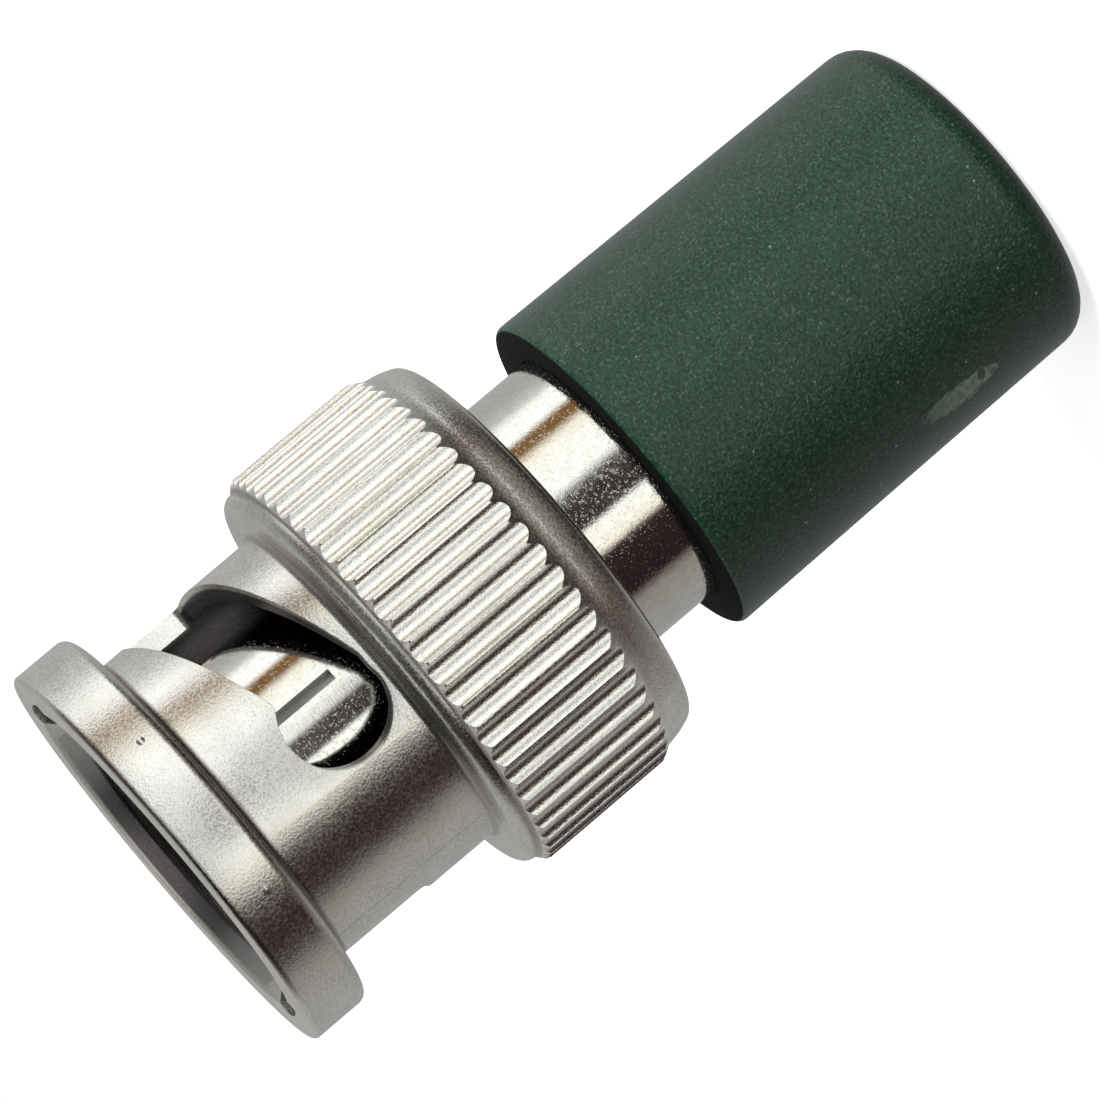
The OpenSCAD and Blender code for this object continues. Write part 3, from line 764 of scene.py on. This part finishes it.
def front_edge(degrees):
    """Height of the slot's front edge: the cam's line, or the detent where that is higher."""
    line = cam_front - CAM_RISE * (1 - degrees / 90)
    half_chord = tube_r * math.sin(math.radians(degrees))
    round_top = DETENT_Z + math.sqrt(max(DETENT_R ** 2 - half_chord ** 2, 0))
    return (line + round_top + math.hypot(line - round_top, HUMP_SOFTNESS)) / 2


def corner_arc(degrees, height, steps=8):
    """A quarter circle that rounds the groove's far corner, as (degrees, height) pairs."""
    middle = degrees - math.degrees(CORNER_R / tube_r)
    for i in range(steps + 1):
        a = math.pi / 2 * i / steps
        yield middle + math.degrees(CORNER_R * math.sin(a) / tube_r), height + CORNER_R * (1 - math.cos(a))


def detent_arc(steps=30):
    """The slot's closed end: a half circle from front to rear, as (degrees, height) pairs."""
    for i in range(steps + 1):
        t = math.pi / 2 + math.pi * i / steps
        yield math.degrees(math.asin(DETENT_R * math.cos(t) / tube_r)), DETENT_Z + DETENT_R * math.sin(t)


level_from, level_until = 4, 90 * (1 - (cam_rear - SLOT_FLOOR_Z) / CAM_RISE)
slot_outline = [(90 + LEAD_HALF, FRONT_Z + 1), (90 - LEAD_HALF, FRONT_Z + 1)]
slot_outline += [(a, front_edge(a)) for a in (90 - LEAD_HALF, 60, 40, 30, *range(26, 0, -1))]
slot_outline += detent_arc()
slot_outline += [(level_from, SLOT_FLOOR_Z), (level_until, SLOT_FLOOR_Z)]
slot_outline += corner_arc(90 + LEAD_HALF, cam_rear)
cam_cutter = bmesh.new()
spots = [cam_cutter.verts.new((round_at(SLOT_TURN + a), IN_Y, z)) for a, z in slot_outline]
cam_cutter.faces.new(spots)
push(cam_cutter, cam_cutter.faces[:], (0, OUT_Y - IN_Y, 0))
strip = cut(strip, copies(cam_cutter, 2, (round_at(180), 0, 0)))
print("slotted strip", len(strip.faces), "faces,", open_edges(strip), "open edges")

# %% [markdown]
# ## Rounded rims and crests
# A casting has no knife edges. The Boolean leaves some faces split in two, so flat neighbours are
# joined first. Then the edges to round are found by where they lie and which way their faces look:
# the slots' rims on the tube, and the long edges of the crests on the grip.

# %% Rounded rims and crests
RIM_BEVEL, CREST_BEVEL = 0.26, 0.022
SKIN_FROM_R, SKIN_TO_R, CLEAR_OF_ENDS = 5.4, 5.66, 0.15
bmesh.ops.dissolve_limit(
    strip, angle_limit=math.radians(0.5), use_dissolve_boundaries=False,
    verts=strip.verts[:], edges=strip.edges[:], delimit=set(),
)


def on_tube(spot):
    """Whether a spot lies on the tube's skin, clear of the collar and the ring."""
    between_ends = COLLAR_Z + CLEAR_OF_ENDS < spot.z < RING_Z - CLEAR_OF_ENDS
    return SKIN_FROM_R < spot.y < SKIN_TO_R and between_ends


def is_rim(edge):
    """An edge between the tube's skin and a slot's wall."""
    if not edge.is_manifold or not all(on_tube(v.co) for v in edge.verts):
        return False
    skin, wall = sorted(edge.link_faces, key=lambda f: -f.normal.y)
    return skin.normal.y > 0.9 and abs(wall.normal.y) < 0.4


def is_crest(edge):
    """A long edge that runs along the plug where a flute meets the grip's full radius."""
    way = (edge.verts[0].co - edge.verts[1].co).normalized()
    on_grip = all(abs(v.co.y - GRIP_R) < 0.01 for v in edge.verts)
    runs_far = edge.is_manifold and abs(way.z) > 0.98 and edge.calc_length() > 2
    return runs_far and on_grip and edge.calc_face_angle() > 0.3


def bevel_edges(bm, edges, width, segments):
    """Rounds these edges of a bmesh."""
    bmesh.ops.bevel(
        bm, geom=edges, offset=width, offset_type="OFFSET", segments=segments,
        profile=0.5, affect="EDGES", material=-1, clamp_overlap=True,
    )
    print("bevelled", len(edges), "edges by", width, "mm")


bevel_edges(strip, [e for e in strip.edges if is_rim(e)], RIM_BEVEL, 4)
bevel_edges(strip, [e for e in strip.edges if is_crest(e)], CREST_BEVEL, 2)
print("strip", len(strip.faces), "faces,", open_edges(strip), "open edges")

# %% [markdown]
# ## Rolling up
# The two cut ends of the strip are opened, the strip is sliced into staves, four to a flute, and
# each vertex is carried from distance round the grip to an angle. The ends meet on a crest of the
# knurl, where the seam is welded.

# %% Staves and roll
STAVES, SNAP, WELD = 4 * FLUTES, 0.004, 0.002


def at_end(face, degrees):
    """Whether a face is the strip's cut end at this angle."""
    return all(abs(v.co.x - round_at(degrees)) < 1e-3 for v in face.verts)


ends = [f for f in strip.faces if at_end(f, SEAM) or at_end(f, SEAM + 360)]
bmesh.ops.delete(strip, geom=ends, context="FACES_ONLY")
for i in range(1, STAVES):
    bmesh.ops.bisect_plane(
        strip, geom=everything(strip), dist=SNAP,
        plane_co=(round_at(SEAM + 360 * i / STAVES), 0, 0), plane_no=(1, 0, 0),
    )
for vert in strip.verts:
    angle, radius = vert.co.x / GRIP_R, vert.co.y
    vert.co.x, vert.co.y = radius * math.sin(angle), -radius * math.cos(angle)
bmesh.ops.remove_doubles(strip, verts=strip.verts[:], dist=WELD)
bmesh.ops.dissolve_degenerate(strip, dist=WELD / 4, edges=strip.edges[:])
bmesh.ops.delete(strip, geom=[e for e in strip.edges if not e.link_faces], context="EDGES")
bmesh.ops.recalc_face_normals(strip, faces=strip.faces[:])
finish_piece("knurled_sleeve", strip, "sleeve", "satin_nickel", ["coupling_sleeve"])

# %% [markdown]
# ## Barrel
# A bright turned barrel shows between the cap and the sleeve. It is a short tube, and its ends
# come from the solid that it stands for.

# %% Barrel
CAP_FLOOR_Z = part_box("rear_barrel")[0].z / MM
BARREL_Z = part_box("rear_barrel")[1].z / MM
BARREL_R, BARREL_BORE_R = 4.4, 3.9
barrel = turn([
    (BARREL_BORE_R, CAP_FLOOR_Z, 0.03), (BARREL_R, CAP_FLOOR_Z, 0.05),
    (BARREL_R, BARREL_Z, 0.08), (BARREL_BORE_R, BARREL_Z, 0.05),
])
finish_piece("bright_barrel", barrel, "plug", "bright_nickel", ["rear_barrel"])

# %% [markdown]
# ## Outer contact
# Inside the sleeve stands the outer contact: a thin tube with a bead at its tip, slit into four
# spring fingers that grip the mating jack. The tube is turned whole, and two thin slabs at right
# angles cut it into fingers, as a slitting saw would.

# %% Outer contact
SEAT_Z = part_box("outer_contact")[0].z / MM
TIP_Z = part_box("outer_contact")[1].z / MM
FLANGE_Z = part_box("plug_body")[1].z / MM
CONTACT_R, CONTACT_BORE_R, BEAD_R = 3.75, 3.25, 4.05
SPIGOT_R, SPIGOT_BORE_R, STEP_H = 3.3, 2.7, 0.5
SLIT_W, SLIT_L, SLIT_TURN, SLAB_L = 0.38, 4.08, -74.5, 9
contact = turn([
    (SPIGOT_BORE_R, SEAT_Z, 0.05), (SPIGOT_R, SEAT_Z, 0.05), (SPIGOT_R, FLANGE_Z, 0.02),
    (CONTACT_R, FLANGE_Z, 0.05), (CONTACT_R, TIP_Z - 1.3, 0.15), (BEAD_R, TIP_Z - 0.95, 0.12),
    (BEAD_R, TIP_Z - 0.35, 0.12), (CONTACT_R, TIP_Z, 0.1), (CONTACT_BORE_R, TIP_Z, 0.1),
    (CONTACT_BORE_R, FLANGE_Z + STEP_H, 0.05), (SPIGOT_BORE_R, FLANGE_Z + STEP_H, 0.05),
])
for quarter in (0, 90):
    slab = bmesh.new()
    bmesh.ops.create_cube(slab, size=1)
    bmesh.ops.scale(slab, vec=(SLAB_L, SLIT_W, SLIT_L + 1), verts=slab.verts[:])
    bmesh.ops.translate(slab, vec=(0, 0, TIP_Z + (1 - SLIT_L) / 2), verts=slab.verts[:])
    spin = Matrix.Rotation(math.radians(SLIT_TURN + quarter), 3, "Z")
    bmesh.ops.rotate(slab, verts=slab.verts[:], cent=(0, 0, 0), matrix=spin)
    contact = cut(contact, slab)
finish_piece("slit_contact", contact, "plug", "bright_nickel", ["outer_contact"])

# %% [markdown]
# ## Cap
# The cap is one moulding: a nearly straight cup with a generous rounding at its closed end and a
# small one at its mouth.

# %% Cap
CAP_REAR_R, CAP_R, CAP_BORE_R, CAP_REAR_ROUND = 5.5, 5.65, 4.42, 1.05
cap = turn([
    (0, 0, 0), (CAP_REAR_R, 0, CAP_REAR_ROUND), (CAP_R, CAP_Z, 0.2), (CAP_BORE_R, CAP_Z, 0.08),
    (CAP_BORE_R, CAP_FLOOR_Z, 0.05), (0, CAP_FLOOR_Z, 0),
])
finish_piece("moulded_cap", cap, "plug", "cap_plastic", ["cap"])

# %% [markdown]
# ## Flange
# Down the sleeve's bore lies the front of the plug's body: a flange on a neck. Only its near face
# shows, but its whole section is turned, so that it stays right when the sleeve moves.

# %% Flange
NECK_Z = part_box("plug_body")[0].z / MM
LIP_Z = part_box("rear_insulator")[0].z / MM
NECK_R, FLANGE_R, FLANGE_H = 3.9, 4.86, 0.75
SEAT_R, LIP_BORE_R = 3.0, 2.3
flange = turn([
    (LIP_BORE_R, NECK_Z, 0.05), (NECK_R, NECK_Z, 0.1), (NECK_R, FLANGE_Z - FLANGE_H, 0),
    (FLANGE_R, FLANGE_Z - FLANGE_H, 0.06), (FLANGE_R, FLANGE_Z, 0.08), (SPIGOT_R, FLANGE_Z, 0),
    (SPIGOT_R, SEAT_Z, 0), (SEAT_R, SEAT_Z, 0), (SEAT_R, LIP_Z, 0), (LIP_BORE_R, LIP_Z, 0.05),
])
finish_piece("flange_body", flange, "plug", "bright_nickel", ["plug_body"])

# %% [markdown]
# ## White insulator
# The insulator is a stepped white bush inside the contact. Its front is bored out to a thin wall
# round the pin, and its edges are broken so that they catch the light.

# %% White insulator
FACE_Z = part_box("front_insulator")[1].z / MM
BUSH_R, BUSH_REAR_R, BUSH_WALL_BORE_R = 3.23, 2.68, 2.45
PIN_BORE_R, MOUTH_DEPTH = 0.895, 6.3
insulator = turn([
    (PIN_BORE_R, SEAT_Z, 0.05), (BUSH_REAR_R, SEAT_Z, 0.05), (BUSH_REAR_R, FLANGE_Z + STEP_H, 0),
    (BUSH_R, FLANGE_Z + STEP_H, 0.05), (BUSH_R, FACE_Z, 0.08), (BUSH_WALL_BORE_R, FACE_Z, 0.12),
    (BUSH_WALL_BORE_R, FACE_Z - MOUTH_DEPTH, 0.1), (PIN_BORE_R, FACE_Z - MOUTH_DEPTH, 0.08),
])
finish_piece("white_insulator", insulator, "plug", "insulator", ["front_insulator"])

# %% [markdown]
# ## Gilded pin
# The centre pin has a solder cup at its rear, a collar that seats against the insulator and a
# slender tip that tapers to a rounded nose.

# %% Gilded pin
PIN_REAR_Z, PIN_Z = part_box("centre_pin")[0].z / MM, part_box("centre_pin")[1].z / MM
PIN_R, SHANK_R, PIN_COLLAR_R, CUP_R, CUP_BORE_R = 0.675, 0.875, 1.3, 0.95, 0.4
CUP_DEPTH, PIN_COLLAR_H, NOSE_H = 1.6, 0.6, 0.6
pin = turn([
    (0, PIN_REAR_Z + CUP_DEPTH, 0), (CUP_BORE_R, PIN_REAR_Z + CUP_DEPTH, 0.03),
    (CUP_BORE_R, PIN_REAR_Z, 0.03), (CUP_R, PIN_REAR_Z, 0.08), (CUP_R, SEAT_Z - PIN_COLLAR_H, 0),
    (PIN_COLLAR_R, SEAT_Z - PIN_COLLAR_H, 0.05), (PIN_COLLAR_R, SEAT_Z, 0.05), (SHANK_R, SEAT_Z, 0),
    (SHANK_R, FACE_Z - MOUTH_DEPTH, 0.08), (PIN_R, FACE_Z - MOUTH_DEPTH, 0.03),
    (PIN_R, PIN_Z - NOSE_H, 0.2), (PIN_R / 2, PIN_Z, 0.15), (0, PIN_Z, 0),
], steps=96)
finish_piece("gilded_pin", pin, "plug", "gold_plate", ["centre_pin"])

# %% [markdown]
# ## Face seal
# A rubber ring lies on the flange, round the foot of the contact. Its outer edges are well rounded.

# %% Face seal
SEAL_R, SEAL_BORE_R, SEAL_H = 4.75, 3.77, 0.8
seal = turn([
    (SEAL_BORE_R, FLANGE_Z, 0.05), (SEAL_R, FLANGE_Z, 0.15),
    (SEAL_R, FLANGE_Z + SEAL_H, 0.2), (SEAL_BORE_R, FLANGE_Z + SEAL_H, 0.15),
])
finish_piece("face_seal", seal, "plug", "seal_rubber", ["gasket"])

# %% [markdown]
# ## The solids that stay
# The resistor, its leads and solder, the disc and the washers keep the shape that they came with.
# They sit inside the cap and the sleeve, and each gets the finish of its own material.

# %% Finishes of the remaining solids
KEPT = {
    "rear_insulator": "insulator", "front_solder": "solder", "rear_solder": "solder",
    "front_lead": "tinned_wire", "rear_lead": "tinned_wire", "resistor_body": "resistor_coating",
    "ground_disc": "brass_disc", "wave_washer": "spring_steel", "thrust_washer": "spring_steel",
    "rear_washer": "spring_steel",
}
for node, slot in KEPT.items():
    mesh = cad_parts[node].data
    mesh.materials.clear()
    mesh.materials.append(FINISH[slot])
print("finished", len(KEPT), "solids that stay")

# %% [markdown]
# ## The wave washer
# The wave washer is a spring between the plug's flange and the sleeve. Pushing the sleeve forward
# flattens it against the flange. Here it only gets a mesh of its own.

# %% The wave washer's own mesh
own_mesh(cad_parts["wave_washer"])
